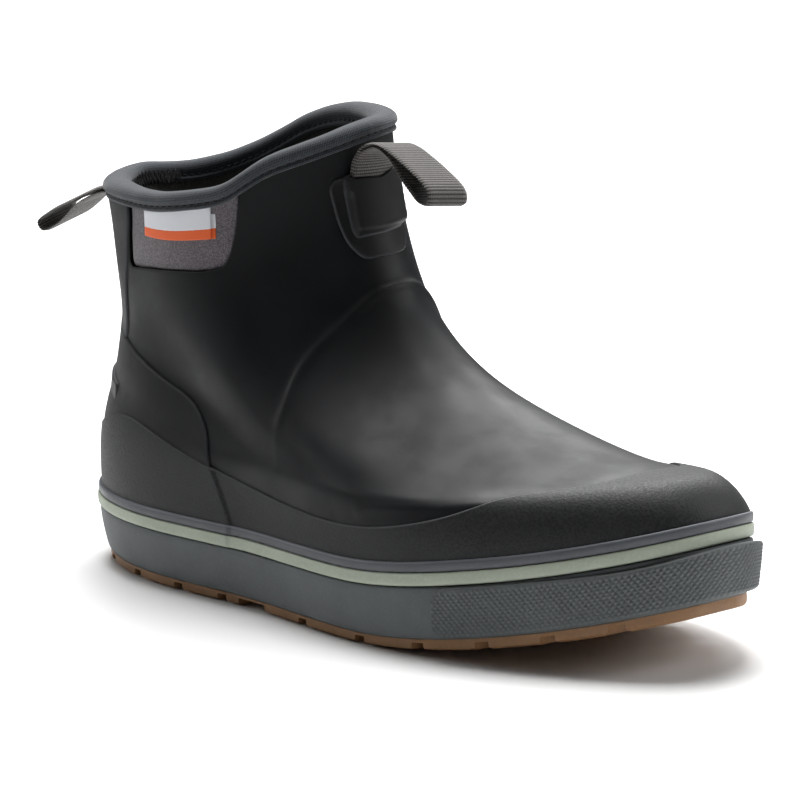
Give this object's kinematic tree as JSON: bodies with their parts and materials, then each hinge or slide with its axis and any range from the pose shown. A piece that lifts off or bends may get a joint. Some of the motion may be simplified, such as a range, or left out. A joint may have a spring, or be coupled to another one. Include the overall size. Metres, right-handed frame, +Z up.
{
  "type": "deck boot",
  "caption": "Ankle-height pull-on rubber deck boot with a low collar, stretch side panels, webbing pull loops front and rear, a toe bumper and a gripping gum outsole.",
  "frame": {"origin": "centre of the object's underside, on the surface that the boot stands on", "axes": "+X towards the toe, -Y towards the outer side of the right foot, +Z up"},
  "size_m": [0.3502, 0.1166, 0.1782],
  "materials": {
    "upper_rubber": "satin",
    "overlay_rubber": "fine pebble, matte",
    "sidewall_rubber": "matte",
    "dark_stripe": "matte",
    "pale_stripe": "matte",
    "gum_rubber": "matte",
    "neoprene": "knit-faced stretch foam",
    "binding_tape": "woven tape",
    "webbing": "grosgrain",
    "lining_cloth": "brushed knit",
    "label_cloth": "woven label",
    "foam": "closed-cell foam",
    "board": "fibre board"
  },
  "bodies": {
    "boot": {"outsole": "gum_rubber", "midsole": "foam", "sidewall": "sidewall_rubber", "toe_bumper": "sidewall_rubber", "foxing_stripe_pale": "pale_stripe", "foxing_stripe_dark": "dark_stripe", "insole_board": "board", "footbed": "foam", "vamp": "upper_rubber", "shaft": "upper_rubber", "neoprene_panel_lateral": "neoprene", "neoprene_panel_medial": "neoprene", "mudguard": "overlay_rubber", "heel_counter": "overlay_rubber", "heel_stay": "overlay_rubber", "kick_off_lug": "overlay_rubber", "side_label": "label_cloth", "collar_binding": "binding_tape", "lining": "lining_cloth", "heel_stiffener": "board", "toe_puff": "board", "front_anchor_patch": "overlay_rubber", "front_loop_pocket": "overlay_rubber", "front_loop_tail": "webbing", "rear_anchor_patch": "overlay_rubber", "rear_loop_tail": "webbing"},
    "front_loop": {"front_pull_loop": "webbing"},
    "rear_loop": {"rear_pull_loop": "webbing"}
  },
  "joints": [
    {"name": "front_loop_hinge", "type": "hinge", "parent": "boot", "child": "front_loop", "pos_m": [0.00964, -0.00201, 0.1609], "axis": [0, 1, 0], "range_deg": [-20, 45], "stiffness_Nm_per_rad": 0.02},
    {"name": "rear_loop_hinge", "type": "hinge", "parent": "boot", "child": "rear_loop", "pos_m": [-0.12753, -0.00201, 0.1395], "axis": [0, -1, 0], "range_deg": [-25, 40], "stiffness_Nm_per_rad": 0.02}
  ]
}
